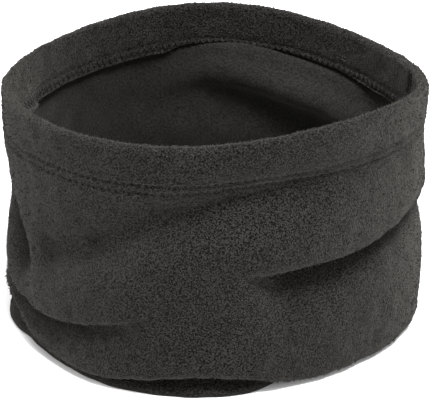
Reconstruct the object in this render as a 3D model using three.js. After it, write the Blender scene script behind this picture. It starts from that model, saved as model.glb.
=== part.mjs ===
// A brushed fleece neck gaiter, standing slumped on its lower hem: one strip of cloth closed into a
// tube by a flat butted seam, with both edges turned in and stitched down by a twin-needle machine.
// Millimetres, +Z up. Directions round the tube are in degrees from the front (-Y) towards the
// right (+X). Along the cloth, s runs from the lower fold (0) to the upper fold.

import * as THREE from 'three';
import { mergeVertices } from 'three/addons/utils/BufferGeometryUtils.js';

// ---- Driving dimensions ------------------------------------------------------------------------

const FLAT_WIDTH = 260;         // across the tube pressed flat
const FINISHED_HEIGHT = 170;    // along the cloth, from fold to fold
const STANDING_HEIGHT = 104.5;  // of the rim, on average, as it slumps
const RIM_OVAL = 2;             // the rim is wider than the mean circle by this, and as much less deep
const CLOTH = 2.2;              // one ply of fleece
const PLY_GAP = 0.3;            // between two plies that touch
const HEM = 18;                 // depth of the turned hems
const STITCH_INSET = 15;        // from a fold to the middle of its stitching
const NEEDLE_GAUGE = 3.2;       // between the two rows of stitches
const NEEDLE_THREAD = 0.5;      // thickness of the needle threads
const LOOPER_THREAD = 0.3;      // thickness of the looper threads, which zigzag flat on the inside
const THREAD_CLEARANCE = 0.25;  // between a hem's thread and the cloth it lies on
const SEAM_CLEARANCE = 0.35;    // the same at the closing seam, which bends sharply in the folds
const SEAM_AT = 100;            // where the closing seam runs, in degrees
const SEAM_SLIT = 0.4;          // between the butted edges of the closing seam
const SEAM_END = 2.5;           // from a fold to the end of the closing seam's threads
const CROSSING_LIFT = 1.3;      // how far a hem's threads rise where they cross the closing seam
const FOOT_PRESS = 0.6;         // how far the lower fold is pressed flat by its weight

const COLUMNS = 76;             // steps round the tube
const WALL_ROW = 8.5;           // of cloth to each step up the wall, on average
const WALL_ROWS = Math.round(FINISHED_HEIGHT / WALL_ROW);
const MERIDIAN_STEPS = 240;     // samples of one meridian curve

const MEAN_RADIUS = (2 * FLAT_WIDTH) / (2 * Math.PI);
const FOLD_RADIUS = CLOTH + PLY_GAP / 2;   // of the outside of a turned edge
const PLY_STEP = CLOTH + PLY_GAP;          // from one ply's middle to the next one's

// ---- How the cloth slumps ----------------------------------------------------------------------
// Each list gives [direction in degrees, value in mm], and is read round the tube as a smooth curve.
// They are those of a tube that stands SHAPED_TALL, of a cloth that is SHAPED_THICK. A lower tube
// has its creases lower, and a thicker cloth keeps its folds further apart.

const SHAPED_TALL = 104.5;
const SHAPED_THICK = 2.2;
const TALL = STANDING_HEIGHT / SHAPED_TALL;
const THICKER = CLOTH - SHAPED_THICK;

// The rim's waves: [cycles round the tube, height, direction of one crest].
const RIM_WAVES = [[1, 1.7, 45], [2, 2.7, 20.5], [3, 2.0, 54.6]];

// Distance of the lower hem's foot from the middle, less the mean radius.
const FOOT_SPREAD = [
  [-88, 2.2], [-78, 1.4], [-66, -0.6], [-52, -0.6], [-38, 0.6], [-28, 1.2], [-8, 0.4], [10, -1.6],
  [25, -4.6], [42, -4.8], [60, -2.8], [80, -1], [110, -1.4], [150, -3], [190, -3], [225, -2],
];

// How far the foot stands inside the wall above it.
const FOOT_INSET = [
  [-110, 1], [-80, 0], [-66, 2], [-52, 2.6], [-8, 2.6], [8, 3.4], [25, 9.5], [130, 9.5], [165, 5],
  [210, 2],
];
// How far the hem leans inwards, in degrees from upright.
const HEM_LEAN = [
  [-105, 30], [-88, 28], [-76, 34], [-62, 48], [-45, 56], [-28, 54], [-5, 50], [15, 62], [30, 74],
  [60, 76], [110, 76], [150, 66], [200, 46], [230, 36],
];
// Height of the lowest roll of cloth, which hangs over the hem.
const LOW_ROLL = [
  [-130, 17], [-100, 17], [-86, 16], [-77, 14], [-69, 9.5], [-60, 6.4], [-45, 4.8], [-35, 5],
  [-22, 7.8], [-5, 11], [8, 9.4], [16, 6.2], [25, 3.8], [40, 3.1], [110, 3.1], [160, 6], [210, 13],
];
// The crease that runs round the wall: its height, and how deep it goes.
const CREASE_HEIGHT = [
  [-120, 45], [-86, 42], [-76, 33], [-68, 26], [-59, 22.5], [-47, 24], [-32, 28], [-17, 33], [-5, 42],
  [5, 50], [16, 54], [35, 55], [46, 56], [58, 58.5], [68, 60], [110, 60], [136, 61], [153, 62],
  [163, 65], [173, 67], [182, 67], [195, 62], [215, 50],
];
const CREASE_DEPTH = [
  [-110, 0], [-86, 0], [-75, 0], [-65, 2.2], [-54, 4.5], [-47, 4.5], [-32, 2.5], [-19, 0.6], [-8, 0],
  [6, 0], [14, 2.5], [24, 7], [38, 9.5], [60, 9.5], [80, 8], [100, 8], [120, 10], [145, 11],
  [160, 9], [172, 6], [184, 2], [194, 0],
];
const CREASE_HANG = 4;          // how far the upper tier hangs below the crease
const CREASE_TAKES_HOLD = 2.5;  // depth at which a crease begins to hang
const BELLY = 0.8;              // how far the wall swells half way up
const TUCK_ROOM = 4;            // between the faces of the two runs of a tuck, at its turn
const RUN_GAP = TUCK_ROOM + CLOTH;   // between the middles of those two runs
const FIRST_TUCK = 10;          // how far a tuck reaches in past the hem, before its corrections
const LEAST_TUCK = 3.5;         // how far every tuck reaches in at the least
const TUCK_ROUNDS = 5;          // corrections of the tuck, each to the length that is left over
const HOLLOW_EDGE = 0.7;        // how sharply a hollow ends: higher is sharper

// Hollows pressed into the wall: [direction, height, depth, half width] along each one.
const SIDE_NOTCH = [
  [-102, 70, 4, 8], [-97, 66, 8, 9], [-90, 61, 12, 9], [-82, 54, 13, 10], [-77, 46, 13, 10],
  [-73, 38, 10, 9], [-71, 30, 2, 8],
];
const FRONT_HOLLOW = [
  [-50, 50, 1.5, 9], [-30, 62, 3.2, 9], [-14, 73, 3.2, 8], [4, 81.5, 3.2, 6], [22, 85, 3, 5.5],
  [55, 84, 1.5, 6],
];
// Soft swells: [direction, height, outward push, half angle, half height].
const SWELLS = [
  [-92, 44, -1.5, 16, 14], [172, 46, -8, 15, 15], [88, 25, 1.5, 25, 12], [88, 70, -1.5, 25, 14],
  [5, 62, 1.5, 30, 8],
];

// ---- Small maths -------------------------------------------------------------------------------

const { clamp, degToRad, lerp, smoothstep } = THREE.MathUtils;
const UPRIGHT = new THREE.Vector3(0, 0, 1);
const turnsApart = (a, b) => THREE.MathUtils.euclideanModulo(a - b + 180, 360) - 180;

// A quantity given at stations round the tube, read as a smooth closed curve that never overshoots.
function around(stations, direction) {
  const count = stations.length;
  const station = (k) => {
    const lap = Math.floor(k / count);
    const [at, value] = stations[k - lap * count];
    return [at + 360 * lap, value];
  };
  const chord = (k) => (station(k + 1)[1] - station(k)[1]) / (station(k + 1)[0] - station(k)[0]);
  const slope = (k) => {
    const before = chord(k - 1);
    const after = chord(k);
    if (before * after <= 0) return 0;
    const mean = (before + after) / 2;
    return Math.sign(mean) * Math.min(Math.abs(mean), 3 * Math.abs(before), 3 * Math.abs(after));
  };
  const first = stations[0][0];
  const angle = first + THREE.MathUtils.euclideanModulo(direction - first, 360);
  let k = 0;
  while (station(k + 1)[0] <= angle) k += 1;
  const [from, low] = station(k);
  const [to, high] = station(k + 1);
  const span = to - from;
  const t = (angle - from) / span;
  const eased = t * t * (3 - 2 * t);
  const swing = t * (1 - t) * span * ((1 - t) * slope(k) - t * slope(k + 1));
  return lerp(low, high, eased) + swing;
}

// Depth of a hollow at one place on the wall, from the nearest point of its line.
function hollow(line, direction, height) {
  let depth = 0;
  const degree = degToRad(1) * MEAN_RADIUS;
  for (let k = 1; k < line.length; k += 1) {
    const [fromAt, fromZ, fromDepth, fromWidth] = line[k - 1];
    const [toAt, toZ, toDepth, toWidth] = line[k];
    const along = new THREE.Vector2((toAt - fromAt) * degree, toZ - fromZ);
    const here = new THREE.Vector2(turnsApart(direction, fromAt) * degree, height - fromZ);
    const t = clamp(here.dot(along) / along.lengthSq(), 0, 1);
    const away = here.addScaledVector(along, -t).length() / lerp(fromWidth, toWidth, t);
    depth = Math.max(depth, lerp(fromDepth, toDepth, t) * Math.exp(-HOLLOW_EDGE * away * away));
  }
  return depth;
}

// Outward push of the soft swells at one place on the wall.
function swell(direction, height) {
  let push = 0;
  for (const [at, z, size, halfAngle, halfHeight] of SWELLS) {
    const x = turnsApart(direction, at) / halfAngle;
    const y = (height - z) / halfHeight;
    push += size * Math.exp(-(x * x + y * y) / 2);
  }
  return push;
}

// ---- The cloth's middle surface ----------------------------------------------------------------

// The rim's height at its top, where the hem folds over.
function rimHeight(direction) {
  let height = STANDING_HEIGHT;
  for (const [cycles, size, crest] of RIM_WAVES) {
    height += size * Math.cos(degToRad(cycles * (direction - crest)));
  }
  return height;
}

// Control points (distance from the middle, height) of one meridian, from the foot to the rim. Small
// offsets in them round a fold off, and are those of the cloth's own stiffness.
function meridianControls(direction, tuck) {
  const top = rimHeight(direction) - FOLD_RADIUS;
  const rim = MEAN_RADIUS - RIM_OVAL * Math.cos(degToRad(2 * direction));
  const base = MEAN_RADIUS + around(FOOT_SPREAD, direction);
  const lean = degToRad(around(HEM_LEAN, direction));
  const foot = base - around(FOOT_INSET, direction) - 2 * THICKER;
  const crease = TALL * around(CREASE_HEIGHT, direction);
  const depth = Math.max(around(CREASE_DEPTH, direction), 0);
  const hold = 1 - Math.exp(-depth / CREASE_TAKES_HOLD);
  const wall = (z) => {
    const rise = clamp(z / top, 0, 1);
    return lerp(base, rim, smoothstep(rise, 0, 1)) + BELLY * Math.sin(Math.PI * rise);
  };

  const floor = FOLD_RADIUS + (PLY_STEP / 2) * Math.sin(lean);
  const hem = (share) => [foot - HEM * share * Math.sin(lean), floor + HEM * share * Math.cos(lean)];
  const [hemRadius, hemTop] = hem(1);
  const roll = around(LOW_ROLL, direction) + 2 * THICKER;
  const turn = hemRadius - tuck;
  const over = smoothstep(hemTop - roll, -2, 6);
  const shoulder = Math.max(crease - lerp(12, 15, hold), roll + 8);
  const belly = lerp(roll + 7, shoulder, 0.5);
  const band = top - HEM;
  const upper = crease + 12 + 0.45 * (band - crease - 12);

  return [
    // The lower hem.
    hem(0), hem(0.5), hem(1), hem(1.15),
    // The tuck: in along the floor, round its turn, and back out above itself.
    [turn + 0.45 * tuck, hemTop + 1.2],
    [turn, hemTop + 1.4],
    [turn, hemTop + 1.4 + RUN_GAP],
    [hemRadius - 0.3 * tuck, hemTop + 1 + 0.85 * RUN_GAP],
    // The lowest roll, which turns under where it hangs over the hem.
    [lerp(hemRadius, wall(roll), 0.5) + over, lerp(hemTop + 0.85 * RUN_GAP, roll, 0.45) + 2.5 * over],
    [wall(roll) - 2.4, roll - 0.6],
    [wall(roll) + 1.2, roll + 0.4],
    [wall(roll + 7) + 0.8, roll + 6.5],
    // The lower tier of the wall, up to the crease.
    [wall(belly), belly],
    [wall(shoulder) - 0.05 * depth, shoulder],
    [wall(crease) - 0.4 * depth, crease - lerp(8, 6.5, hold)],
    // The bottom of the crease, which a flat wall has none of.
    [wall(crease) - depth, crease - lerp(4, 3.6, hold)],
    [wall(crease) - depth, crease + lerp(0, 2.8, hold)],
    [wall(crease) - 0.35 * depth + 0.4 * hold, crease + lerp(4, 1, hold)],
    // The upper tier, which hangs over the crease, and the upper hem.
    [wall(crease) + 1.4 * hold, crease + lerp(8, 2 - CREASE_HANG, hold)],
    [wall(crease + 8) + 1.2 * hold, crease + lerp(12, 8, hold)],
    [wall(upper), upper],
    [wall(band) - 0.6, band],
    [rim - 0.2, top - HEM / 2],
    [rim, top],
  ];
}

// One point of the cubic B-spline that the control points pull, at a share of its run.
function splinePoint(controls, share) {
  const spans = controls.length - 1;
  const place = Math.min(share * spans, spans - 1e-9);
  const k = Math.floor(place);
  const t = place - k;
  const beyond = (end, next) => [2 * end[0] - next[0], 2 * end[1] - next[1]];
  const control = (i) => {
    if (i < 0) return beyond(controls[0], controls[1]);
    if (i > spans) return beyond(controls[spans], controls[spans - 1]);
    return controls[i];
  };
  const weights = [(1 - t) ** 3, 3 * t ** 3 - 6 * t ** 2 + 4, -3 * t ** 3 + 3 * t ** 2 + 3 * t + 1, t ** 3];
  const sum = (axis) => weights.reduce((total, w, i) => total + w * control(k - 1 + i)[axis], 0) / 6;
  return new THREE.Vector2(sum(0), sum(1));
}

// One meridian as a polyline with the cloth's length at each of its points.
function traceMeridian(direction, tuck) {
  const controls = meridianControls(direction, tuck);
  const points = [];
  const lengths = [0];
  for (let k = 0; k <= MERIDIAN_STEPS; k += 1) {
    points.push(splinePoint(controls, k / MERIDIAN_STEPS));
    if (k > 0) lengths.push(lengths[k - 1] + points[k].distanceTo(points[k - 1]));
  }
  return { points, lengths, length: lengths[MERIDIAN_STEPS] };
}

// The meridian whose tuck takes up all the cloth that its other folds leave over.
const meridians = new Map();
function meridian(direction) {
  if (!meridians.has(direction)) {
    let tuck = FIRST_TUCK;
    let traced = traceMeridian(direction, tuck);
    for (let k = 0; k < TUCK_ROUNDS; k += 1) {
      tuck = Math.max(tuck + (FINISHED_HEIGHT - 2 * FOLD_RADIUS - traced.length) / 2, LEAST_TUCK);
      traced = traceMeridian(direction, tuck);
    }
    meridians.set(direction, traced);
  }
  return meridians.get(direction);
}

// A point of the middle surface, s millimetres of cloth above the lower edge of that surface.
function surfacePoint(direction, s) {
  const { points, lengths } = meridian(direction);
  let k = 1;
  while (k < lengths.length - 1 && lengths[k] < s) k += 1;
  const t = (s - lengths[k - 1]) / (lengths[k] - lengths[k - 1]);
  const flat = points[k - 1].clone().lerp(points[k], t);
  const height = flat.y / TALL;
  const dent = hollow(SIDE_NOTCH, direction, height) + hollow(FRONT_HOLLOW, direction, height);
  const radius = flat.x - dent + swell(direction, height);
  const angle = degToRad(direction);
  return new THREE.Vector3(radius * Math.sin(angle), -radius * Math.cos(angle), flat.y);
}

// The place out from that surface along its normal, and past its end along the cloth. It is found
// on the meridian that it faces, and turned from there to the direction that it stands in.
function clothPoint({ direction, facing }, s, out, past = 0) {
  const reach = 0.8;   // millimetres of cloth looked at on either side, to find which way is up it
  const bend = 0.6;    // degrees looked at on either side, to find which way is round it
  const end = meridian(facing).length;
  const low = surfacePoint(facing, Math.max(s - reach, 0));
  const high = surfacePoint(facing, Math.min(s + reach, end));
  const up = high.sub(low).normalize();
  const left = surfacePoint(facing - bend, s);
  const right = surfacePoint(facing + bend, s);
  const normal = right.sub(left).normalize().cross(up).normalize();
  const point = surfacePoint(facing, s).addScaledVector(normal, out).addScaledVector(up, past);
  return point.applyAxisAngle(UPRIGHT, degToRad(direction - facing));
}

// ---- Sweeps ------------------------------------------------------------------------------------

// Triangles that close one flat ring of points, each turned the way that the ring runs.
function capOf(ring) {
  const facing = new THREE.Vector3();
  ring.forEach((p, k) => facing.add(p.clone().cross(ring[(k + 1) % ring.length])));
  const lay = new THREE.Quaternion().setFromUnitVectors(facing.normalize(), UPRIGHT);
  const flat = ring.map((p) => p.clone().applyQuaternion(lay));
  return THREE.ShapeUtils.triangulateShape(flat, []).map(([a, b, c]) => {
    const piece = THREE.ShapeUtils.area([flat[a], flat[b], flat[c]]);
    return piece > 0 ? [a, b, c] : [c, b, a];
  });
}

// A closed body from rings of points: each ring is one cross-section, and the two ends are capped.
function loft(rings) {
  const size = rings[0].length;
  const last = (rings.length - 1) * size;
  const positions = rings.flat().flatMap((p) => [p.x, p.y, p.z]);
  const index = [];
  for (let k = 0; k < rings.length - 1; k += 1) {
    for (let i = 0; i < size; i += 1) {
      const a = k * size + i;
      const b = k * size + ((i + 1) % size);
      index.push(a, b + size, b, a, a + size, b + size);
    }
  }
  for (const [a, b, c] of capOf(rings[0])) index.push(a, b, c);
  for (const [a, b, c] of capOf(rings.at(-1))) index.push(last + c, last + b, last + a);
  const geometry = new THREE.BufferGeometry();
  geometry.setAttribute('position', new THREE.Float32BufferAttribute(positions, 3));
  geometry.setIndex(index);
  const merged = mergeVertices(geometry, 1e-3);
  merged.computeVertexNormals();
  return merged;
}

// The cross-sections from one side of the closing seam round to the other, each with the direction
// that it stands in and the direction that it faces. Those under the seam's threads face the same
// way as the seam does, so that the cloth is straight there.
function columns() {
  const degree = degToRad(1) * MEAN_RADIUS;
  const edge = SEAM_SLIT / 2 / degree;
  const band = (NEEDLE_GAUGE / 2 + NEEDLE_THREAD + THREAD_CLEARANCE) / degree;
  const start = SEAM_AT - 360;
  const step = (360 - 2 * band) / (COLUMNS - 2);
  const places = [
    { direction: start + edge, facing: start },
    { direction: start + band, facing: start },
  ];
  for (let k = 1; k < COLUMNS - 2; k += 1) {
    const direction = start + band + step * k;
    places.push({ direction, facing: direction });
  }
  places.push(
    { direction: SEAM_AT - band, facing: SEAM_AT },
    { direction: SEAM_AT - edge, facing: SEAM_AT },
  );
  return places;
}

// Places along the cloth, each as a function of the meridian it is on.
const aboveFoot = (distance) => () => distance;
const belowRim = (distance) => (m) => m.length - distance;
const upTheWall = (share) => (m) => {
  const step = (s) => m.lengths.findIndex((length) => length >= s);
  const place = lerp(step(HEM), step(m.length - HEM), share);
  const k = Math.floor(place);
  return lerp(m.lengths[k], m.lengths[Math.min(k + 1, m.lengths.length - 1)], place - k);
};

// ---- The cloth ---------------------------------------------------------------------------------

// One hem in cross-section, from the outer face over the fold, down the turned ply and back up
// between the plies. edge gives a place by its distance from the fold, and side is 1 at the rim
// and -1 at the foot.
function hemOutline(edge, side) {
  const face = CLOTH / 2;
  const insets = [0, STITCH_INSET - NEEDLE_GAUGE / 2, STITCH_INSET + NEEDLE_GAUGE / 2];
  const run = (places, out) => places.map((inset) => ({ s: edge(inset), out }));
  const fold = [45, 90, 135].map((angle) => ({
    s: edge(0),
    out: -PLY_STEP / 2 + FOLD_RADIUS * Math.cos(degToRad(angle)),
    past: side * FOLD_RADIUS * Math.sin(degToRad(angle)),
  }));
  return [
    ...run(insets.toReversed(), face),
    ...fold,
    ...run([...insets, HEM], -PLY_STEP - face),
    ...run([HEM, ...insets.toReversed()], -PLY_STEP + face),
    ...run(insets, -face),
  ];
}

// The whole cross-section: up the outer face, round the rim, down the inner face, round the foot.
function clothOutline() {
  const wall = (out) => {
    const face = [];
    for (let k = 0; k <= WALL_ROWS; k += 1) face.push({ s: upTheWall(k / WALL_ROWS), out });
    return face;
  };
  const rim = hemOutline(belowRim, 1);
  const foot = hemOutline(aboveFoot, -1).reverse();
  return [...wall(CLOTH / 2), ...rim, ...wall(-CLOTH / 2).reverse(), ...foot];
}

// A body with one cross-section all the way round. lift raises it over the closing seam's threads.
function sweepRound(outline, lift = 0) {
  const rings = columns().map((place) => {
    const m = meridian(place.facing);
    const rise = turnsApart(place.facing, SEAM_AT) === 0 ? lift : 0;
    return outline.map((p) => clothPoint(place, p.s(m), p.out + Math.sign(p.out) * rise, p.past));
  });
  return loft(rings);
}

// The cloth, with the lower fold pressed flat where it stands.
function fleecePanel() {
  const geometry = sweepRound(clothOutline());
  const position = geometry.getAttribute('position');
  for (let k = 0; k < position.count; k += 1) {
    position.setZ(k, Math.max(position.getZ(k), FOOT_PRESS));
  }
  return geometry;
}

// ---- The threads -------------------------------------------------------------------------------

const NEEDLE_OUT = CLOTH / 2 + THREAD_CLEARANCE + NEEDLE_THREAD / 2;
const HEM_LOOPER_OUT = -(PLY_STEP + CLOTH / 2 + THREAD_CLEARANCE + LOOPER_THREAD / 2);
const SEAM_NEEDLE_OUT = CLOTH / 2 + SEAM_CLEARANCE + NEEDLE_THREAD / 2;
const SEAM_LOOPER_OUT = -(CLOTH / 2 + SEAM_CLEARANCE + LOOPER_THREAD / 2);

// A thread's cross-section: corners across its line and out of the cloth, about its middle.
function threadCorners(width, thickness, out) {
  const side = width / 2;
  const half = thickness / 2;
  return [[-side, out + half], [side, out + half], [side, out - half], [-side, out - half]];
}

// A thread that runs round a hem at a distance from its fold.
function hemThread(edge, inset, width, thickness, out) {
  const outline = threadCorners(width, thickness, out).map(([across, corner]) => (
    { s: edge(inset - across), out: corner }
  ));
  return sweepRound(edge === belowRim ? outline : outline.reverse(), CROSSING_LIFT);
}

// The rows of the closing seam: its whole run, or only the stretch between the two hems.
function seamRows(throughHems) {
  const wall = [];
  for (let k = 0; k <= WALL_ROWS; k += 1) wall.push(upTheWall(k / WALL_ROWS));
  if (!throughHems) return wall.slice(1, -1);
  const stitches = [STITCH_INSET - NEEDLE_GAUGE / 2, STITCH_INSET + NEEDLE_GAUGE / 2];
  const foot = [SEAM_END, ...stitches].map(aboveFoot);
  const rim = [SEAM_END, ...stitches].map(belowRim).reverse();
  return [...foot, ...wall, ...rim];
}

// A thread that runs up the closing seam, offset from it round the tube.
function seamThread(offset, width, thickness, out, throughHems) {
  const corners = threadCorners(width, thickness, out);
  const m = meridian(SEAM_AT);
  const degree = degToRad(1) * MEAN_RADIUS;
  const rings = seamRows(throughHems).map((row) => corners.map(([across, corner]) => (
    clothPoint({ direction: SEAM_AT + (offset + across) / degree, facing: SEAM_AT }, row(m), corner)
  )));
  return loft(rings.reverse());
}

// ---- The gaiter --------------------------------------------------------------------------------

const FLEECE = new THREE.MeshStandardMaterial({ color: 0x35353a, roughness: 1 });
const THREAD = new THREE.MeshStandardMaterial({ color: 0x2c2c2e, roughness: 0.7 });
const gaiter = new THREE.Group();

function add(name, geometry, material) {
  const mesh = new THREE.Mesh(geometry, material);
  mesh.name = name;
  gaiter.add(mesh);
}

add('fleece_panel', fleecePanel(), FLEECE);
for (const [hem, edge] of [['top', belowRim], ['bottom', aboveFoot]]) {
  const needle = (inset) => hemThread(edge, inset, NEEDLE_THREAD, NEEDLE_THREAD, NEEDLE_OUT);
  add(`${hem}_hem_outer_needle_thread`, needle(STITCH_INSET - NEEDLE_GAUGE / 2), THREAD);
  add(`${hem}_hem_inner_needle_thread`, needle(STITCH_INSET + NEEDLE_GAUGE / 2), THREAD);
  const looper = hemThread(edge, STITCH_INSET, NEEDLE_GAUGE, LOOPER_THREAD, HEM_LOOPER_OUT);
  add(`${hem}_hem_looper_thread`, looper, THREAD);
}
for (const [side, offset] of [['front', -NEEDLE_GAUGE / 2], ['rear', NEEDLE_GAUGE / 2]]) {
  const thread = seamThread(offset, NEEDLE_THREAD, NEEDLE_THREAD, SEAM_NEEDLE_OUT, true);
  add(`closing_seam_${side}_needle_thread`, thread, THREAD);
}
const seamLooper = seamThread(0, NEEDLE_GAUGE, LOOPER_THREAD, SEAM_LOOPER_OUT, false);
add('closing_seam_looper_thread', seamLooper, THREAD);

// The gaiter stands at the middle of its own outline, with its foot on the ground.
const outline = new THREE.Box3().setFromObject(gaiter, true);
const middle = outline.getCenter(new THREE.Vector3());
gaiter.position.set(-middle.x, -middle.y, -outline.min.z);

export default gaiter;
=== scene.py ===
"""A brushed fleece neck gaiter, standing slumped on its lower hem.

It is one strip of cloth, closed into a tube by a flat butted seam, with both edges turned in and
stitched down by a twin-needle machine. The cloth is worked out in millimetres round the tube's own
axis, and becomes metres in the frame when a mesh is made. Directions round the tube are in degrees
from the front (-Y) towards the right (+X). Along the cloth, s runs from the lower fold to the rim.
"""

import math

import bpy
import numpy as np
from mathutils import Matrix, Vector


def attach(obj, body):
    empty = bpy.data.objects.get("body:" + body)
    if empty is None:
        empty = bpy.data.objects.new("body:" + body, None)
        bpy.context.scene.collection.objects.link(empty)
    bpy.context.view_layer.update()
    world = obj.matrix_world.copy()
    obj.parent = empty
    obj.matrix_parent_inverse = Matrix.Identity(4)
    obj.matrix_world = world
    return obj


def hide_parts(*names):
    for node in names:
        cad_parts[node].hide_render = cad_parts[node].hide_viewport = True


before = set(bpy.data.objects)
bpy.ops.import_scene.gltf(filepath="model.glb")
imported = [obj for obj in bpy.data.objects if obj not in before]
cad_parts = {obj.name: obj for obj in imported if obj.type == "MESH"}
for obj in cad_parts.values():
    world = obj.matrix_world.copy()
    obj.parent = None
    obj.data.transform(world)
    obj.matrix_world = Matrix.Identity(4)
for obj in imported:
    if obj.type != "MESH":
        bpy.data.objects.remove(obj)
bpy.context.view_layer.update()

# ---- Driving dimensions, in millimetres ---------------------------------------------------------

MM = 0.001
FLAT_WIDTH = 260          # across the tube pressed flat
FINISHED_HEIGHT = 170     # along the cloth, from fold to fold
STANDING_HEIGHT = 104.5   # of the rim, on average, as it slumps
RIM_OVAL = 2              # the rim is wider than the mean circle by this, and as much less deep
CLOTH = 2.2               # one ply of fleece
PLY_GAP = 0.3             # between two plies that touch
HEM = 18                  # depth of the turned hems
STITCH_INSET = 15         # from a fold to the middle of its stitching
NEEDLE_GAUGE = 3.2        # between the two rows of stitches
STITCH = 3.0              # length of one stitch
NEEDLE_THREAD = 0.5       # thickness of the needle threads
LOOPER_THREAD = 0.4       # thickness of the looper threads
SEAM_AT = 100             # where the closing seam runs, in degrees
SEAM_END = 2.5            # from a fold to the end of the closing seam's threads
FOOT_PRESS = 0.6          # how far the lower fold is pressed flat by its weight
TUBE_AXIS = (0.563, 1.261, -FOOT_PRESS)   # of the tube's own middle, in the frame

MEAN_RADIUS = 2 * FLAT_WIDTH / (2 * math.pi)
FOLD_RADIUS = CLOTH + PLY_GAP / 2         # of the outside of a turned edge
PLY_STEP = CLOTH + PLY_GAP                # from one ply's middle to the next one's
LENGTH = FINISHED_HEIGHT - 2 * FOLD_RADIUS
DEGREE = math.radians(1) * MEAN_RADIUS    # of cloth, in millimetres

GRID_COLUMNS = 720        # fine grid that the middle surface is worked out on
GRID_ROWS = 660
MERIDIAN_STEPS = 900      # samples of one meridian curve
UP_REACH = 3              # rows either way that the way up the cloth is read over
SIDE_REACH = 2            # columns either way that the way round it is read over

# ---- How the cloth slumps -----------------------------------------------------------------------
# Each list gives (direction in degrees, value), read round the tube as a smooth curve. The values
# are in millimetres, or in what the comment over the list says.

# The rim's waves: (cycles round the tube, height, direction of one crest).
RIM_WAVES = [(1, 1.7, 45), (2, 2.7, 20.5), (3, 2.0, 54.6)]

# Distance of the lower hem's foot from the middle, less the mean radius.
FOOT_SPREAD = [
    (-88, 2.2), (-78, 1.4), (-66, -0.6), (-52, -0.6), (-38, 0.6), (-28, 1.2), (-8, 0.4), (10, -1.6),
    (25, -4.6), (42, -4.8), (60, -2.8), (80, -1), (110, -1.4), (150, -3), (190, -3), (225, -2),
]
# How far the foot stands inside the wall above it.
FOOT_INSET = [
    (-110, 1), (-80, 0), (-66, 2), (-52, 2.6), (-8, 2.6), (8, 3.4), (25, 9.5), (130, 9.5), (165, 5),
    (210, 2),
]
# How far the hem leans inwards, in degrees from upright.
HEM_LEAN = [
    (-105, 30), (-88, 28), (-76, 34), (-62, 48), (-45, 56), (-28, 54), (-5, 50), (15, 62), (30, 74),
    (60, 76), (110, 76), (150, 66), (200, 46), (230, 36),
]
# Height of the lowest roll of cloth, which hangs over the hem.
LOW_ROLL = [
    (-130, 17), (-100, 17), (-86, 16), (-77, 14), (-69, 9.5), (-60, 6.4), (-45, 4.8), (-35, 5),
    (-22, 7.8), (-5, 11), (8, 9.4), (16, 6.2), (25, 3.8), (40, 3.1), (110, 3.1), (160, 6), (210, 13),
]
# The crease that runs round the wall: its height, and how deep it goes.
CREASE_HEIGHT = [
    (-120, 42), (-102, 36), (-90, 27), (-80, 22), (-70, 20), (-59, 20.5), (-47, 23), (-32, 27.5),
    (-17, 33), (-5, 42), (5, 50), (16, 54), (35, 55), (46, 56), (58, 58.5), (68, 60), (110, 60),
    (136, 69), (153, 72.5), (163, 75.5), (173, 77.5), (182, 78), (195, 74), (208, 66), (225, 52),
]
CREASE_DEPTH = [
    (-110, 0), (-96, 0), (-86, 1.5), (-75, 3.5), (-65, 5.5), (-54, 6.5), (-47, 6.5), (-32, 4),
    (-19, 1.2), (-8, 0), (5, 0), (10, 2), (16, 9), (24, 13.5), (36, 14), (60, 11), (80, 8),
    (100, 8), (120, 11), (145, 14), (160, 13), (172, 11), (184, 7), (194, 3), (206, 0),
]
# How far the wall above the crease leans in to it, all the way down from the band of the hem.
UPPER_SLACK = [(95, 0), (115, 2), (135, 5), (155, 6.5), (172, 6), (188, 3.5), (208, 0)]
EASED_SLACK = 4           # lean at which the crease no longer hangs, but comes down to an edge
# How far the crease opens into a pocket below, as a share.
POCKET = [(-50, 0), (6, 0), (18, 1), (30, 0.9), (55, 0)]
ROOMY_TIER = 22           # of the lower tier's height: in less, its folds are squeezed together
TIGHTEST = 0.3            # share of their full height that they keep at the least
CREASE_HANG = 4           # how far the upper tier hangs below the crease
CREASE_TAKES_HOLD = 2.5   # depth at which a crease begins to hang
BELLY = 0.8               # how far the wall swells half way up
RUN_GAP = 6.2             # between the two runs of a tuck, at its turn
LEAST_TUCK = 3.5          # how far every tuck reaches in past the hem
FIRST_TUCK = 10           # reach that the search for the right tuck starts from
TUCK_ROUNDS = 6           # corrections of the tuck, each to the length that is left over

# Hollows pressed into the wall: (direction, height, depth, half width) along each one.
SIDE_NOTCH = [
    (-104, 80, 5, 7), (-97, 75, 10, 7.5), (-90, 68, 13, 8), (-83, 59, 15, 8), (-76, 49, 15, 8),
    (-70, 40, 10, 8), (-66, 32, 2, 8),
]
FRONT_HOLLOW = [
    (-50, 50, 5, 9), (-33, 60, 8.5, 9), (-14, 73, 8.5, 8.5), (4, 81.5, 8, 7.5), (20, 86, 6.5, 6.5),
    (40, 86, 4, 6), (62, 84, 2, 6),
]
HOLLOW_SHARPNESS = 0.7    # how soon a hollow fades out, away from its line
# Soft swells: (direction, height, outward push, half angle, half height).
SWELLS = [
    (-92, 44, -1.5, 16, 14), (172, 46, -8, 15, 15), (88, 25, 1.5, 25, 12), (88, 70, -1.5, 25, 14),
    (5, 62, 1.5, 30, 8),
]
# The soft unevenness of all the cloth: size, longest and shortest wave, and how many waves.
UNEVENNESS = (0.22, 34, 9, 26)

# ---- Small maths --------------------------------------------------------------------------------


def turns_apart(a, b):
    """Degrees from direction b to direction a, the short way round."""
    return (a - b + 180) % 360 - 180


def smoothstep(x, low, high):
    t = np.clip((x - low) / (high - low), 0, 1)
    return t * t * (3 - 2 * t)


def lerp(a, b, t):
    return a + (b - a) * t


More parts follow.
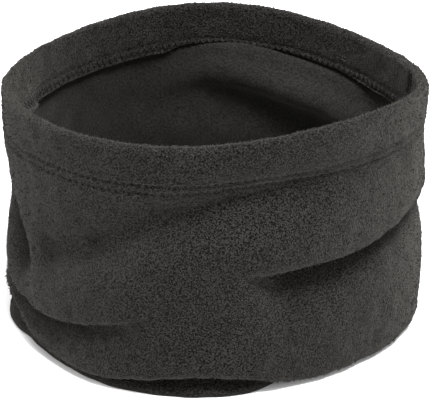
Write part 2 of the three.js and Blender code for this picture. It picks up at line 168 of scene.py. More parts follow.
def around(stations, direction):
    """A quantity given at stations, read as a smooth closed curve that never overshoots."""
    at, value = np.array(stations, float).T
    first = at[0]
    at = np.concatenate([at - 360, at, at + 360])
    value = np.tile(value, 3)
    chord = np.diff(value) / np.diff(at)
    before, after = chord[:-1], chord[1:]
    mean = (before + after) / 2
    limit = 3 * np.minimum(abs(before), abs(after))
    slope = np.where(before * after > 0, np.sign(mean) * np.minimum(abs(mean), limit), 0)
    angle = first + (direction - first) % 360
    k = np.searchsorted(at, angle, side="right") - 1
    span = at[k + 1] - at[k]
    t = (angle - at[k]) / span
    swing = t * (1 - t) * span * ((1 - t) * slope[k - 1] - t * slope[k])
    return lerp(value[k], value[k + 1], t * t * (3 - 2 * t)) + swing


def hollow(line, direction, height):
    """Depth of a hollow on the wall, from the nearest point of its line."""
    depth = np.zeros_like(height)
    for (at_a, z_a, deep_a, wide_a), (at_b, z_b, deep_b, wide_b) in zip(line, line[1:]):
        along = np.array([(at_b - at_a) * DEGREE, z_b - z_a])
        x = turns_apart(direction, at_a) * DEGREE
        y = height - z_a
        t = np.clip((x * along[0] + y * along[1]) / (along @ along), 0, 1)
        away = np.hypot(x - t * along[0], y - t * along[1]) / lerp(wide_a, wide_b, t)
        reach = lerp(deep_a, deep_b, t) * np.exp(-HOLLOW_SHARPNESS * away**2)
        depth = np.maximum(depth, reach)
    return depth


def swell(direction, height):
    """Outward push of the soft swells on the wall."""
    push = np.zeros_like(height)
    for at, z, size, half_angle, half_height in SWELLS:
        x = turns_apart(direction, at) / half_angle
        y = (height - z) / half_height
        push += size * np.exp(-(x * x + y * y) / 2)
    return push


# ---- The cloth's middle surface -----------------------------------------------------------------


def rim_height(direction):
    waves = [size * np.cos(np.radians(n * (direction - crest))) for n, size, crest in RIM_WAVES]
    return STANDING_HEIGHT + sum(waves)


def meridian_controls(direction, tuck):
    """Control points (distance from the middle, height) of each meridian, from foot to rim.

    They are tied to the levels and depths of the lists above, and their own small offsets, in
    millimetres, give each fold its roundness."""
    top = rim_height(direction) - FOLD_RADIUS
    rim = MEAN_RADIUS - RIM_OVAL * np.cos(np.radians(2 * direction))
    base = MEAN_RADIUS + around(FOOT_SPREAD, direction)
    lean = np.radians(around(HEM_LEAN, direction))
    foot = base - around(FOOT_INSET, direction)
    crease = around(CREASE_HEIGHT, direction)
    depth = np.maximum(around(CREASE_DEPTH, direction), 0)
    hold = 1 - np.exp(-depth / CREASE_TAKES_HOLD)
    slack = around(UPPER_SLACK, direction)
    eased = smoothstep(slack, 0, EASED_SLACK)
    pocket = around(POCKET, direction)

    def wall(z):
        rise = np.clip(z / top, 0, 1)
        return lerp(base, rim, smoothstep(rise, 0, 1)) + BELLY * np.sin(np.pi * rise)

    floor = FOLD_RADIUS + (PLY_STEP / 2) * np.sin(lean)

    def hem(share):
        return foot - HEM * share * np.sin(lean), floor + HEM * share * np.cos(lean)

    hem_radius, hem_top = hem(1)
    roll = around(LOW_ROLL, direction)
    turn = hem_radius - tuck
    over = smoothstep(hem_top - roll, -2, 6)
    squeeze = np.clip((crease - roll) / ROOMY_TIER, TIGHTEST, 1)
    shoulder = np.maximum(crease - lerp(12, 15, hold), roll + 8 * squeeze)
    belly = lerp(roll + 7 * squeeze, shoulder, 0.5)
    band = top - HEM
    upper = crease + 12 + 0.45 * (band - crease - 12)
    under = lerp(hem_top + 0.85 * RUN_GAP, roll, 0.45) + 2.5 * over

    points = [
        # The leaning hem, then in along the lower run of the tuck and out along the upper one.
        hem(0), hem(0.5), hem(1), hem(1.15),
        (turn + 0.45 * tuck, hem_top + 1.2),
        (turn, hem_top + 1.4),
        (turn, hem_top + 1.4 + RUN_GAP),
        (hem_radius - 0.3 * tuck, hem_top + 1 + 0.85 * RUN_GAP),
        (lerp(hem_radius, wall(roll), 0.5) + over, under),
        # Round the lowest roll and up the lower tier.
        (wall(roll) - 2.4, roll - 0.6),
        (wall(roll) + 1.2, roll + 0.4),
        (wall(roll + 7) + 0.8, roll + 6.5 * squeeze),
        (wall(belly), belly),
        # In to the crease and its pocket, and out again under the tier that hangs over it.
        (wall(shoulder) - lerp(0.05, 0.25, pocket) * depth, shoulder),
        (wall(crease) - lerp(0.4, 0.85, pocket) * depth, crease - lerp(8, 6.5, hold) * squeeze),
        (wall(crease) - depth, crease - lerp(4, 3.6, hold) * squeeze),
        (wall(crease) - depth, crease + lerp(0, 2.8, hold)),
        (wall(crease) - 0.35 * depth + 0.4 * hold - 0.8 * slack,
         crease + lerp(lerp(4, 1, hold), 5, eased)),
        (wall(crease) + 1.4 * hold - 1.3 * slack,
         crease + lerp(lerp(8, 2 - CREASE_HANG, hold), 8.5, eased)),
        # Up the upper tier to the rim.
        (wall(crease + 8) + 1.2 * hold - slack, crease + lerp(lerp(12, 8, hold), 13, eased)),
        (wall(upper) - 0.6 * slack, upper),
        (wall(band) - 0.6 - 0.1 * slack, band),
        (rim - 0.2, top - HEM / 2),
        (rim, top),
    ]
    return np.stack([np.stack(np.broadcast_arrays(r, z), -1) for r, z in points], 1)


def spline(controls, steps):
    """The cubic B-splines that rows of control points pull, each with its two ends held."""
    first = 2 * controls[:, :1] - controls[:, 1:2]
    last = 2 * controls[:, -1:] - controls[:, -2:-1]
    pulled = np.concatenate([first, controls, last], 1)
    place = np.linspace(0, controls.shape[1] - 1 - 1e-9, steps)
    k = place.astype(int)
    t = (place - k)[:, None]
    weights = [(1 - t) ** 3, 3 * t**3 - 6 * t**2 + 4, -3 * t**3 + 3 * t**2 + 3 * t + 1, t**3]
    return sum(w * pulled[:, k + i] for i, w in enumerate(weights)) / 6


def measure(points):
    """Length along each row of points, from its start."""
    steps = np.linalg.norm(np.diff(points, axis=1), axis=2)
    return np.concatenate([np.zeros((len(points), 1)), np.cumsum(steps, axis=1)], axis=1)


def meridians(direction):
    """Each direction's meridian, whose tuck takes up the cloth that its other folds leave over."""
    tuck = np.full(len(direction), float(FIRST_TUCK))
    for _ in range(TUCK_ROUNDS):
        points = spline(meridian_controls(direction, tuck), MERIDIAN_STEPS)
        spare = LENGTH - measure(points)[:, -1]
        tuck = np.maximum(tuck + spare / 2, LEAST_TUCK)
    points = spline(meridian_controls(direction, tuck), MERIDIAN_STEPS)
    return points, measure(points)


def unevenness(direction, s):
    """Soft waves over the cloth in every direction, with none that stands out."""
    size, longest, shortest, count = UNEVENNESS
    draw = np.random.default_rng(3)
    total = np.zeros(np.broadcast(direction, s).shape)
    for _ in range(count):
        length = longest * (shortest / longest) ** draw.random()
        heading = draw.random() * np.pi
        cycles = np.round(np.cos(heading) * 2 * FLAT_WIDTH / length)
        rise = np.sin(heading) / length * 2 * np.pi
        phase = draw.random() * 2 * np.pi
        total += np.cos(np.radians(cycles * direction) + rise * s + phase)
    return total * size / math.sqrt(count)


class Cloth:
    """The middle surface of the slumped cloth on a fine grid, with its normal and its way up."""

    def __init__(self):
        direction = np.arange(GRID_COLUMNS) * 360 / GRID_COLUMNS
        points, lengths = meridians(direction)
        share = np.linspace(0, 1, GRID_ROWS)
        flat = np.empty((GRID_COLUMNS, GRID_ROWS, 2))
        for k in range(GRID_COLUMNS):
            s = share * lengths[k, -1]
            flat[k, :, 0] = np.interp(s, lengths[k], points[k, :, 0])
            flat[k, :, 1] = np.interp(s, lengths[k], points[k, :, 1])
        angle = direction[:, None]
        height = flat[..., 1]
        dent = hollow(SIDE_NOTCH, angle, height) + hollow(FRONT_HOLLOW, angle, height)
        wave = unevenness(angle, share * LENGTH)
        radius = flat[..., 0] - dent + swell(angle, height) + wave
        turn = np.radians(angle)
        self.point = np.stack([radius * np.sin(turn), -radius * np.cos(turn), height], -1)
        self.up = self.way_up()
        side = np.roll(self.point, -SIDE_REACH, 0) - np.roll(self.point, SIDE_REACH, 0)
        normal = np.cross(side, self.up)
        self.normal = normal / np.linalg.norm(normal, axis=-1, keepdims=True)

    def way_up(self):
        """The way up the cloth at each point of the grid."""
        row = np.arange(GRID_ROWS)
        above = self.point[:, np.minimum(row + UP_REACH, GRID_ROWS - 1)]
        below = self.point[:, np.maximum(row - UP_REACH, 0)]
        return (above - below) / np.linalg.norm(above - below, axis=-1, keepdims=True)

    def at(self, direction, s, out=0.0, past=0.0):
        """The place out from the middle surface along its normal, and past it along the cloth."""
        direction, s = np.broadcast_arrays(np.asarray(direction, float), np.asarray(s, float))
        column = (direction % 360) / 360 * GRID_COLUMNS
        row = np.clip(s / LENGTH, 0, 1) * (GRID_ROWS - 1)
        c = np.floor(column).astype(int)
        r = np.minimum(np.floor(row).astype(int), GRID_ROWS - 2)
        u = (column - c)[..., None]
        v = (row - r)[..., None]
        c, d = c % GRID_COLUMNS, (c + 1) % GRID_COLUMNS

        def read(grid):
            low = lerp(grid[c, r], grid[d, r], u)
            high = lerp(grid[c, r + 1], grid[d, r + 1], u)
            return lerp(low, high, v)

        out = np.asarray(out)[..., None]
        past = np.asarray(past)[..., None]
        place = read(self.point) + read(self.normal) * out + read(self.up) * past
        place[..., 2] = np.maximum(place[..., 2], FOOT_PRESS)
        return place


cloth = Cloth()

# ---- Meshes -------------------------------------------------------------------------------------

THREAD_TIP = 0.35         # thickness of a thread's very end, as a share of its own


def make_piece(name, points, faces, materials, kinds=None):
    """A smooth-shaded mesh in the frame, in metres, with a material for each kind of face."""
    mesh = bpy.data.meshes.new(name)
    place = (np.asarray(points).reshape(-1, 3) + TUBE_AXIS) * MM
    mesh.from_pydata(place.tolist(), [], faces)
    for material in materials:
        mesh.materials.append(material)
    mesh.polygons.foreach_set("use_smooth", np.ones(len(mesh.polygons), bool))
    if kinds is not None:
        mesh.polygons.foreach_set("material_index", np.asarray(kinds, np.int32))
    mesh.update()
    piece = bpy.data.objects.new(name, mesh)
    bpy.context.scene.collection.objects.link(piece)
    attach(piece, "root")
    return piece


def tubes(paths, radius, sides):
    """Round threads along paths, an array of (thread, point, 3), with rounded tips."""
    along = np.gradient(paths, axis=1)
    along /= np.linalg.norm(along, axis=-1, keepdims=True)
    across = np.cross(along, (0, 0, 1.0))
    across /= np.linalg.norm(across, axis=-1, keepdims=True)
    over = np.cross(across, along)
    count, steps = paths.shape[:2]
    width = np.full(steps, radius)
    width[[0, -1]] *= THREAD_TIP
    turn = np.arange(sides) * 2 * np.pi / sides
    ring = across[:, :, None] * np.cos(turn)[:, None] + over[:, :, None] * np.sin(turn)[:, None]
    points = paths[:, :, None] + ring * width[:, None, None]
    thread, step, side = np.meshgrid(
        np.arange(count), np.arange(steps - 1), np.arange(sides), indexing="ij")
    start = (thread * steps + step) * sides
    after = (side + 1) % sides
    quads = np.stack([start + side, start + after, start + sides + after, start + sides + side], -1)
    faces = quads.reshape(-1, 4).tolist()
    for k in range(count):
        first = k * steps * sides
        last = first + (steps - 1) * sides
        faces.append([first + j for j in reversed(range(sides))])
        faces.append([last + j for j in range(sides)])
    return points.reshape(-1, 3), faces


# ---- Materials ----------------------------------------------------------------------------------

NAP_MIDDLE = 0.73         # of the summed noises of the nap, between its pits and its tips
NAP_SPREAD = 0.15         # of those noises either way, at a contrast of 1
FIBRE_SHARE = 0.45        # of the fine fibres in the nap's height, beside the pills
WORN_PATCH = 24           # across a patch where the nap lies lighter or darker, in millimetres
THREAD_PLY = 0.35         # from ply to ply of a thread, in millimetres
PAPER_TOOTH = 4           # from dip to dip of the paper, in millimetres


def linear(code):
    """An sRGB hex colour as linear red, green, blue and alpha."""
    parts = [int(code[k:k + 2], 16) / 255 for k in (1, 3, 5)]
    return [p / 12.92 if p <= 0.04045 else ((p + 0.055) / 1.055) ** 2.4 for p in parts] + [1.0]


def per_metre(millimetres):
    """Scale of a pattern whose features are that far apart."""
    return 1 / (millimetres * MM)


def add(tree, kind, inputs=None, **settings):
    """Adds a node with its settings, and what feeds its inputs: a value or another node's output."""
    made = tree.nodes.new(kind)
    for name, value in settings.items():
        setattr(made, name, value)
    for name, value in (inputs or {}).items():
        if isinstance(value, bpy.types.NodeSocket):
            tree.links.new(value, made.inputs[name])
        else:
            made.inputs[name].default_value = value
    return made


def new_material(name):
    """An empty node material, with its output and the place on the object."""
    material = bpy.data.materials.new(name)
    material.use_nodes = True
    tree = material.node_tree
    tree.nodes.clear()
    output = add(tree, "ShaderNodeOutputMaterial")
    place = add(tree, "ShaderNodeTexCoord").outputs["Object"]
    return material, tree, output, place


def brushed_fleece(name, curl, painted_pit_shade, painted_tip_light, depth, contrast=1.0):
    """Polyester fleece, knitted and then brushed: a dull nap of curled fibre that catches light at
    a grazing angle, with pills of fibre about a curl apart and pits between them. Its colour is
    painted by the nap's height: painted shade in the pits, and painted light on the tips of the
    pills. Its fibres are far too fine to show, and are drawn a third of a curl apart."""
    material, tree, output, place = new_material(name)
    pills = add(tree, "ShaderNodeTexNoise",
                {"Vector": place, "Scale": per_metre(curl), "Detail": 3.0, "Roughness": 0.6})
    fibres = add(tree, "ShaderNodeTexNoise",
                 {"Vector": place, "Scale": per_metre(curl / 3), "Detail": 2.0, "Roughness": 0.7,
                  "Distortion": 0.8})
    worn = add(tree, "ShaderNodeTexNoise",
               {"Vector": place, "Scale": per_metre(WORN_PATCH), "Detail": 3.0, "Roughness": 0.5})
    height = add(tree, "ShaderNodeMath",
                 {0: fibres.outputs["Fac"], 1: FIBRE_SHARE, 2: pills.outputs["Fac"]},
                 operation="MULTIPLY_ADD")
    shade = add(tree, "ShaderNodeMapRange",
                {"Value": height.outputs[0], "From Min": NAP_MIDDLE - NAP_SPREAD / contrast,
                 "From Max": NAP_MIDDLE + NAP_SPREAD / contrast})
    # Painted shade and light: the colour runs from the pit colour, painted shade, to the tip colour,
    # painted light, as the nap rises.
    nap = add(tree, "ShaderNodeMix",
              {"Factor": shade.outputs[0], "A": linear(painted_pit_shade), "B": linear(painted_tip_light)}, data_type="RGBA")
    patch = add(tree, "ShaderNodeMapRange",
                {"Value": worn.outputs["Fac"], "From Min": 0.3, "From Max": 0.7,
                 "To Min": 0.88, "To Max": 1.12})
    colour = add(tree, "ShaderNodeVectorMath",
                 {0: nap.outputs["Result"], "Scale": patch.outputs[0]}, operation="SCALE")
    bump = add(tree, "ShaderNodeBump",
               {"Height": height.outputs[0], "Strength": 1.0, "Distance": depth * MM})
    fleece = add(tree, "ShaderNodeBsdfPrincipled",
                 {"Base Color": colour.outputs[0], "Roughness": 0.95, "IOR": 1.45,
                  "Specular IOR Level": 0.1, "Sheen Weight": 0.12, "Sheen Roughness": 0.4,
                  "Sheen Tint": linear("#d8d4cc"), "Normal": bump.outputs[0]})
    tree.links.new(fleece.outputs[0], output.inputs["Surface"])
    return material


def spun_polyester(name, shade, light):
    """Sewing thread of spun polyester: fine plies wound round it, with a soft shine. Its colour is
    painted by the plies' height: the shade colour is painted shade between the plies, and the
    light colour painted light on them. Its plies are drawn a little coarser than they are, to show."""
    material, tree, output, place = new_material(name)
    plies = add(tree, "ShaderNodeTexNoise",
                {"Vector": place, "Scale": per_metre(THREAD_PLY), "Detail": 2.0, "Roughness": 0.6})
    # Painted shade between the plies and painted light on them, following the plies' height.
    colour = add(tree, "ShaderNodeMix",
                 {"Factor": plies.outputs["Fac"], "A": linear(shade), "B": linear(light)},
                 data_type="RGBA")
    bump = add(tree, "ShaderNodeBump",
               {"Height": plies.outputs["Fac"], "Strength": 0.6, "Distance": 0.12 * MM})
    thread = add(tree, "ShaderNodeBsdfPrincipled",
                 {"Base Color": colour.outputs["Result"], "Roughness": 0.7, "IOR": 1.5,
                  "Specular IOR Level": 0.2, "Sheen Weight": 0.05, "Sheen Roughness": 0.4,
                  "Normal": bump.outputs[0]})
    tree.links.new(thread.outputs[0], output.inputs["Surface"])
    return material


def paper_backdrop():
    """Matt white paper, pressed, with a faint tooth and no shine. The tooth is drawn coarse."""
    material, tree, output, place = new_material("matt_white_paper")
    tooth = add(tree, "ShaderNodeTexNoise",
                {"Vector": place, "Scale": per_metre(PAPER_TOOTH), "Detail": 2.0})
    bump = add(tree, "ShaderNodeBump",
               {"Height": tooth.outputs["Fac"], "Strength": 0.1, "Distance": 0.1 * MM})
    paper = add(tree, "ShaderNodeBsdfDiffuse",
                {"Color": linear("#fafafa"), "Roughness": 1.0, "Normal": bump.outputs[0]})
    tree.links.new(paper.outputs[0], output.inputs["Surface"])
    return material


# The cloth and its threads are black. The grey of the lighter colours below is painted light on the
# tips of the fibres and plies, and the darker colours are painted shade in the pits between them.
napped_face = brushed_fleece(
    "brushed_fleece_nap", curl=0.65, painted_pit_shade="#000000", painted_tip_light="#262523", depth=0.5, contrast=3.0)
plain_back = brushed_fleece("fleece_back", curl=0.8, painted_pit_shade="#0c0c0b", painted_tip_light="#21201e", depth=0.35)
tuft_black = brushed_fleece(
    "fleece_tufts", curl=0.65, painted_pit_shade="#000000", painted_tip_light="#363432", depth=0.1, contrast=5.0)
thread_black = spun_polyester("spun_polyester_thread", "#060606", "#151413")

# ---- The cloth ----------------------------------------------------------------------------------

# Rows of the mesh on each face: (from, to, step) along the cloth.
OUTER_ROWS = [(0, 20, 1.5), (20, 48, 2.6), (48, 145, 1.4), (145, 154, 0.7)]
INNER_ROWS = [(0, 48, 3.6), (48, 150, 2.1)]
TURNED_ROWS = [(0, 12, 1.5), (12, HEM, 0.8)]
HIDDEN_STEP = 4.5         # between rows on the faces that two plies turn to each other
FOLD_STEPS = 8            # round the outside of a fold
COLUMNS = 2 * round(2 * FLAT_WIDTH / STITCH)   # of the mesh round the tube, two to a stitch
PUCKER = 0.9              # share of a groove's depth that is lost between two needle holes
SEAM_REACH = 2.4          # of the finer columns on either side of the closing seam
SEAM_COLUMN = 0.4         # width of one of them
STITCH_SINK = 1.2         # how far a row of stitches pulls into the face
STITCH_PULL = 0.75        # half width of that groove
SEAM_SINK = 0.7           # depth of the groove between the butted edges
SEAM_GROOVE = 0.45        # half width of it
NAP = 0.1                 # unevenness of the napped face, from one curl of fibre to the next


def spaced(spans, end):
    """Places along the cloth at the steps that each span gives, closing at an end of its own."""
    places = [np.arange(low, high, step) for low, high, step in spans]
    reach = spans[-1][1]
    rest = np.linspace(reach, end, max(2, round((end - reach) / spans[-1][2]) + 1))
    return np.concatenate([*places, rest])


def cloth_directions():
    """Directions of the mesh's columns: one at each needle hole and one between, and finer at the
    closing seam."""
    fine = np.arange(-SEAM_REACH, SEAM_REACH + 1e-6, SEAM_COLUMN) / DEGREE
    even = np.arange(COLUMNS) * 360 / COLUMNS
    beyond = even[(even * DEGREE > SEAM_REACH) & ((360 - even) * DEGREE > SEAM_REACH)]
    return SEAM_AT + np.concatenate([fine, beyond])


def groove(s, rows, depth, half):
    """Depth of the grooves that rows of stitches pull into a face."""
    return sum(depth * np.exp(-(((s - row) / half) ** 2)) for row in rows)


def cloth_outline():
    """The cloth in cross-section, as (s, out, past, side, kind) once round: up the outer face, over
    the rim, down the turned ply, up behind it, down the inner face, and the same at the foot. side
    is how far the nap points outwards along the normal: 1 or -1 on the napped face, -0.5 on the
    plainer inner face and 0 in the turns. kind is 0 on the napped face and 1 on the inner one."""
    face = CLOTH / 2
    turned = PLY_STEP + face
    behind = PLY_STEP - face
    bend = np.radians(np.linspace(0, 180, FOLD_STEPS + 1)[1:-1])
    hidden = np.linspace(0, HEM, round(HEM / HIDDEN_STEP) + 1)
    edge = [
        (HEM + 0.25, -PLY_STEP - face * 0.6),
        (HEM + 0.35, -PLY_STEP),
        (HEM + 0.2, -PLY_STEP + face * 0.7),
    ]
    rows = [(s, face, 0, 1, 0) for s in spaced(OUTER_ROWS, LENGTH)]

    def turned_edge(place, sign):
        run = [(place(0), -PLY_STEP / 2 + FOLD_RADIUS * math.cos(a),
                sign * FOLD_RADIUS * math.sin(a), 0, 0) for a in bend]
        run += [(place(inset), -turned, 0, -1, 0) for inset in spaced(TURNED_ROWS, HEM)]
        run += [(place(inset), out, 0, 0, 0) for inset, out in edge]
        run += [(place(inset), -behind, 0, 0, 1) for inset in hidden[::-1]]
        return run

    rows += turned_edge(lambda inset: LENGTH - inset, 1)
    rows += [(s, -face, 0, -0.5, 1) for s in spaced(INNER_ROWS, LENGTH)[::-1]]
    rows += turned_edge(lambda inset: inset, -1)[::-1]
    return np.array(rows)


def fleece():
    """The whole strip of fleece, with its grooves and the unevenness of its faces."""
    direction = cloth_directions()[:, None]
    s, out, past, side, kind = cloth_outline().T
    out = np.repeat(out[None, :], len(direction), 0)
    gap = NEEDLE_GAUGE / 2
    top = LENGTH - STITCH_INSET
    hems = [top - gap, top + gap, STITCH_INSET - gap, STITCH_INSET + gap]
    across = turns_apart(direction, SEAM_AT) * DEGREE
    holes = np.cos(np.radians(direction - SEAM_AT) * COLUMNS / 2)
    pulled = groove(s, hems, STITCH_SINK, STITCH_PULL) * (1 - PUCKER * (1 - holes) / 2)
    pulled = np.maximum(pulled, groove(across, [-gap, gap], STITCH_SINK, STITCH_PULL))
    pulled = pulled + groove(across, [0], SEAM_SINK, SEAM_GROOVE) * (abs(out) < CLOTH)
    draw = np.random.default_rng(11)
    nap = draw.normal(0, NAP, out.shape) * np.clip(abs(side) + 0.4, 0, 1)
    out = out + side * (nap - pulled)
    points = cloth.at(direction, s, out, past)
    columns, rows = out.shape
    c, r = np.meshgrid(np.arange(columns), np.arange(rows), indexing="ij")
    after, above = (c + 1) % columns, (r + 1) % rows
    faces = np.stack([c * rows + r, after * rows + r, after * rows + above, c * rows + above], -1)
    kinds = np.maximum(kind[r], kind[above])
    materials = [napped_face, plain_back]
    faces = faces.reshape(-1, 4).tolist()
    return make_piece("fleece_tube", points, faces, materials, kinds.reshape(-1))


# ---- The nap ------------------------------------------------------------------------------------

# The fibres of the real nap are too fine to show, so each tuft stands for many of them.
TUFT = 0.9                # length of a tuft that stands off the cloth
TUFT_LENGTHS = (0.45, 1.1)   # shortest and longest, as shares of that
TUFT_WIDTH = 0.46         # across it at its root
TUFT_WIDTHS = (0.6, 1.3)  # slimmest and widest, as shares of that
TUFT_TILTS = (10, 75)     # least and most that it leans, in degrees from the normal
TUFT_ROOT = 0.15          # how deep it is rooted
ROW_CLEAR = 1.0           # from a row of stitches to the nearest tuft
FACE_TUFTS = 34000        # on each half of the outer face
HEM_TUFTS = 5500          # on the turned ply of the upper hem
RIM_TUFTS = 7000          # round the fold at the rim


def tufts(root, away, draw):
    """Slim three-sided tufts of fibre, each closed, that stand at their roots and lean every way."""
    count = len(root)
    away = away / np.linalg.norm(away, axis=1, keepdims=True)
    lean = draw.normal(0, 1, (count, 3))
    lean -= away * np.sum(lean * away, axis=1, keepdims=True)
    lean /= np.linalg.norm(lean, axis=1, keepdims=True)
    tilt = np.radians(draw.uniform(*TUFT_TILTS, count))[:, None]
    heading = away * np.cos(tilt) + lean * np.sin(tilt)
    across = np.cross(away, heading)
    across /= np.linalg.norm(across, axis=1, keepdims=True)
    over = np.cross(heading, across)
    length = TUFT * draw.uniform(*TUFT_LENGTHS, count)[:, None]
    width = TUFT_WIDTH / 2 * draw.uniform(*TUFT_WIDTHS, count)[:, None]
    foot = root - away * TUFT_ROOT
    turns = np.radians([90, 210, 330])
    corners = [foot + width * (across * math.cos(a) + over * math.sin(a)) for a in turns]
    points = np.stack([*corners, foot + heading * (length + TUFT_ROOT)], 1).reshape(-1, 3)
    points[:, 2] = np.maximum(points[:, 2], FOOT_PRESS)
    sides = np.array([[0, 1, 3], [1, 2, 3], [2, 0, 3], [2, 1, 0]])
    faces = (np.arange(count)[:, None, None] * 4 + sides).reshape(-1, 3)
    return points, faces.tolist()


def add_nap(name, direction, s, out, past, draw):
    """Tufts at places on the cloth. out and past each give (at the face, a millimetre off it)."""
    root = cloth.at(direction, s, out[0], past[0])
    away = cloth.at(direction, s, out[1], past[1]) - root
    piece = make_piece(name, *tufts(root, away, draw), [tuft_black])
    return piece


def clear_of_stitches(direction, s):
    """Whether each place keeps off the rows of stitches."""
    gap = NEEDLE_GAUGE / 2
    across = turns_apart(direction, SEAM_AT) * DEGREE
    near = np.minimum(abs(across - gap), abs(across + gap))
    for row in (STITCH_INSET - gap, STITCH_INSET + gap):
        near = np.minimum(near, np.minimum(abs(s - row), abs(LENGTH - row - s)))
    return near > ROW_CLEAR


def face_nap(name, low, high, face, side, count, seed):
    """The nap on a stretch of a face. side is 1 where it is the outer one, and -1 where it isn't."""
    draw = np.random.default_rng(seed)
    direction, s = draw.uniform(0, 360, count), draw.uniform(low, high, count)
    clear = clear_of_stitches(direction, s)
    return add_nap(name, direction[clear], s[clear], (face, face + side), (0, 0), draw)


def fold_nap(name, seed):
    """The nap round the fold at the rim."""
    draw = np.random.default_rng(seed)
    direction, bend = draw.uniform(0, 360, RIM_TUFTS), draw.uniform(0, np.pi, RIM_TUFTS)
    out = [-PLY_STEP / 2 + r * np.cos(bend) for r in (FOLD_RADIUS, FOLD_RADIUS + 1)]
    past = [r * np.sin(bend) for r in (FOLD_RADIUS, FOLD_RADIUS + 1)]
    return add_nap(name, direction, np.full(RIM_TUFTS, LENGTH), out, past, draw)


# ---- The stitching ------------------------------------------------------------------------------

STITCH_STEPS = 7          # points along one stitch
STITCH_SIDES = 6          # round a thread
STITCH_LIFT = 0.12        # of the middle of a stitch over the face, where it isn't pulled in
STITCH_DIP = 0.75         # of its ends into the cloth
STITCH_REACH = 0.45       # from its middle to its end, as a share of its length
STITCH_LENGTHS = (0.9, 1.04)   # shortest and longest, as shares of that
STITCH_WANDER = 0.06      # of its middle either way, as a share of its length
LOOPER_STEPS = 10         # points along one crossing of the looper
LOOPER_LIFT = 0.12        # of the looper off the inner face
LOOPER_SQUARE = 0.6       # power that squares off its swing from row to row
LOOPER_LEAN = 0.16        # of its crossings along the row, as a share of a stitch
LOOPER_END = 1            # from the hems to the ends of the closing seam's looper


def stitch_row(place, count, seed):
    """A row of needle stitches. place gives (direction, s, face) at a share of the row."""
    draw = np.random.default_rng(seed)
    wander = draw.uniform(-STITCH_WANDER, STITCH_WANDER, count)
    middle = (np.arange(count) + 0.5 + wander) / count
    half = STITCH_REACH * draw.uniform(*STITCH_LENGTHS, count) / count
    u = np.linspace(-1, 1, STITCH_STEPS)
    share = middle[:, None] + half[:, None] * u
    direction, s, face = place(share)
    out = face + STITCH_LIFT - STITCH_SINK - STITCH_DIP * abs(u) ** 5
    return cloth.at(direction, s, out)


def looper_run(place, count):
    """The looper thread on the inside, crossing from one row of stitches to the other and back."""
    steps = count * LOOPER_STEPS
    phase = np.linspace(0, count, steps + 1)
    swing = np.sin(2 * np.pi * phase)
    cross = np.sign(swing) * abs(swing) ** LOOPER_SQUARE
    lean = LOOPER_LEAN * np.sin(4 * np.pi * phase)
    share = (phase + lean) / count
    direction, s, face = place(share, cross * NEEDLE_GAUGE / 2)
    return cloth.at(direction, s, face - LOOPER_LIFT)[None]


def hem_threads(hem, edge_at):
    """The three threads of a hem. edge_at gives s at a distance from the hem's fold."""
    count = round(2 * FLAT_WIDTH / STITCH)
    for row, sign in (("outer", -1), ("inner", 1)):
        s = edge_at(STITCH_INSET + sign * NEEDLE_GAUGE / 2)
        path = stitch_row(lambda share: (SEAM_AT + 360 * share, s, CLOTH / 2), count, 20 + sign)
        name = f"{hem}_hem_{row}_needle_thread"
        points, faces = tubes(path, NEEDLE_THREAD / 2, STITCH_SIDES)
        finish_thread(make_piece(f"{hem}_hem_{row}_stitches", points, faces, [thread_black]), name)

    def inside(share, across):
        return SEAM_AT + 360 * share, edge_at(STITCH_INSET + across), -(PLY_STEP + CLOTH / 2)

    points, faces = tubes(looper_run(inside, count), LOOPER_THREAD / 2, STITCH_SIDES)
    piece = make_piece(f"{hem}_hem_looper", points, faces, [thread_black])
    finish_thread(piece, f"{hem}_hem_looper_thread")


def seam_threads():
    """The three threads of the closing seam."""
    count = round(LENGTH / STITCH)
    for row, sign in (("front", -1), ("rear", 1)):
        direction = SEAM_AT + sign * NEEDLE_GAUGE / 2 / DEGREE

        def outside(share):
            return direction, lerp(SEAM_END, LENGTH - SEAM_END, share), CLOTH / 2

        path = stitch_row(outside, count, 30 + sign)
        points, faces = tubes(path, NEEDLE_THREAD / 2, STITCH_SIDES)
        piece = make_piece(f"closing_seam_{row}_stitches", points, faces, [thread_black])
        finish_thread(piece, f"closing_seam_{row}_needle_thread")
    run = LENGTH - 2 * HEM

    def inside(share, across):
        s = HEM + LOOPER_END + share * (run - 2 * LOOPER_END)
        return SEAM_AT + across / DEGREE, s, -CLOTH / 2

    points, faces = tubes(looper_run(inside, round(run / STITCH)), LOOPER_THREAD / 2, STITCH_SIDES)
    piece = make_piece("closing_seam_looper", points, faces, [thread_black])
    finish_thread(piece, "closing_seam_looper_thread")


def finish_thread(piece, node):
    """Hides the part's own thread that a piece of stitching stands for."""
    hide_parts(node)


gaiter = fleece()
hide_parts("fleece_panel")
hem_threads("top", lambda inset: LENGTH - inset)
hem_threads("bottom", lambda inset: inset)
seam_threads()

# The strip was cut with both its hems, and its ends butt, so the seam takes none of its width.
nap = [
    face_nap("lower_face_nap", 0, LENGTH / 2, CLOTH / 2, 1, FACE_TUFTS, 51),
    face_nap("upper_face_nap", LENGTH / 2, LENGTH, CLOTH / 2, 1, FACE_TUFTS, 52),
    face_nap("turned_hem_nap", LENGTH - HEM, LENGTH, -(PLY_STEP + CLOTH / 2), -1, HEM_TUFTS, 53),
    fold_nap("rim_nap", 54),
]

# ---- The set ------------------------------------------------------------------------------------

CAMERA_ELEVATION = 24     # in degrees
CAMERA_DISTANCE = 900
CAMERA_TARGET = 48.2      # height over the foot of the point that it looks at, on the tube's axis
LENS_TO_SENSOR = 5.0744   # focal length, in widths of the sensor
FLOOR_REACH = 4.0         # from the middle of the floor to its sides, in metres


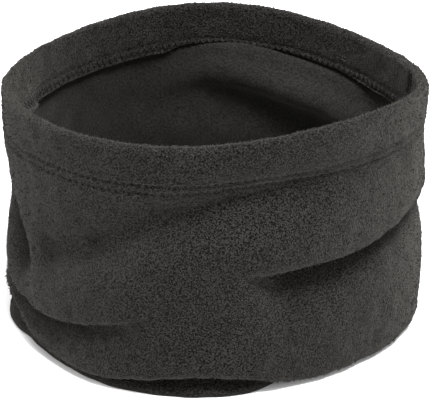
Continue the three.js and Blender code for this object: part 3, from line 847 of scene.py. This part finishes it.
def look_at(thing, place, target):
    """Puts a thing at a place and turns it to a target, both in millimetres."""
    thing.location = Vector(place) * MM
    thing.rotation_euler = (Vector(target) - Vector(place)).to_track_quat("-Z", "Y").to_euler()


def add_camera():
    """The camera, straight in front and a little above."""
    camera = bpy.data.cameras.new("camera")
    camera.lens = LENS_TO_SENSOR * camera.sensor_width
    holder = bpy.data.objects.new("camera", camera)
    bpy.context.scene.collection.objects.link(holder)
    rise = math.radians(CAMERA_ELEVATION)
    target = Vector(TUBE_AXIS) + Vector((0, 0, CAMERA_TARGET))
    place = target + CAMERA_DISTANCE * Vector((0, -math.cos(rise), math.sin(rise)))
    look_at(holder, place, target)
    bpy.context.scene.camera = holder


def add_softbox(name, place, width, depth, power):
    """A soft light of that size in millimetres and power in watts, turned to the gaiter."""
    light = bpy.data.lights.new(name, "AREA")
    light.shape = "RECTANGLE"
    light.size = width * MM
    light.size_y = depth * MM
    light.energy = power
    holder = bpy.data.objects.new(name, light)
    bpy.context.scene.collection.objects.link(holder)
    look_at(holder, place, (0, 0, STANDING_HEIGHT / 2))


def add_floor():
    """A plain paper floor at the height of the foot."""
    mesh = bpy.data.meshes.new("paper_floor")
    reach = FLOOR_REACH
    corners = [(-reach, -reach, 0), (reach, -reach, 0), (reach, reach, 0), (-reach, reach, 0)]
    mesh.from_pydata(corners, [], [(0, 1, 2, 3)])
    mesh.materials.append(paper_backdrop())
    floor = bpy.data.objects.new("paper_floor", mesh)
    bpy.context.scene.collection.objects.link(floor)


def add_world():
    """Even white light from all round, as in a white studio cove."""
    world = bpy.data.worlds.new("white_studio")
    world.use_nodes = True
    world.node_tree.nodes["Background"].inputs["Color"].default_value = linear("#ffffff")
    world.node_tree.nodes["Background"].inputs["Strength"].default_value = 1.0
    bpy.context.scene.world = world


add_camera()
add_floor()
add_world()
add_softbox("overhead", (-150, -100, 1300), 600, 600, 12)
add_softbox("front", (300, -560, 1280), 450, 450, 42)
bpy.context.scene.view_settings.view_transform = "Standard"
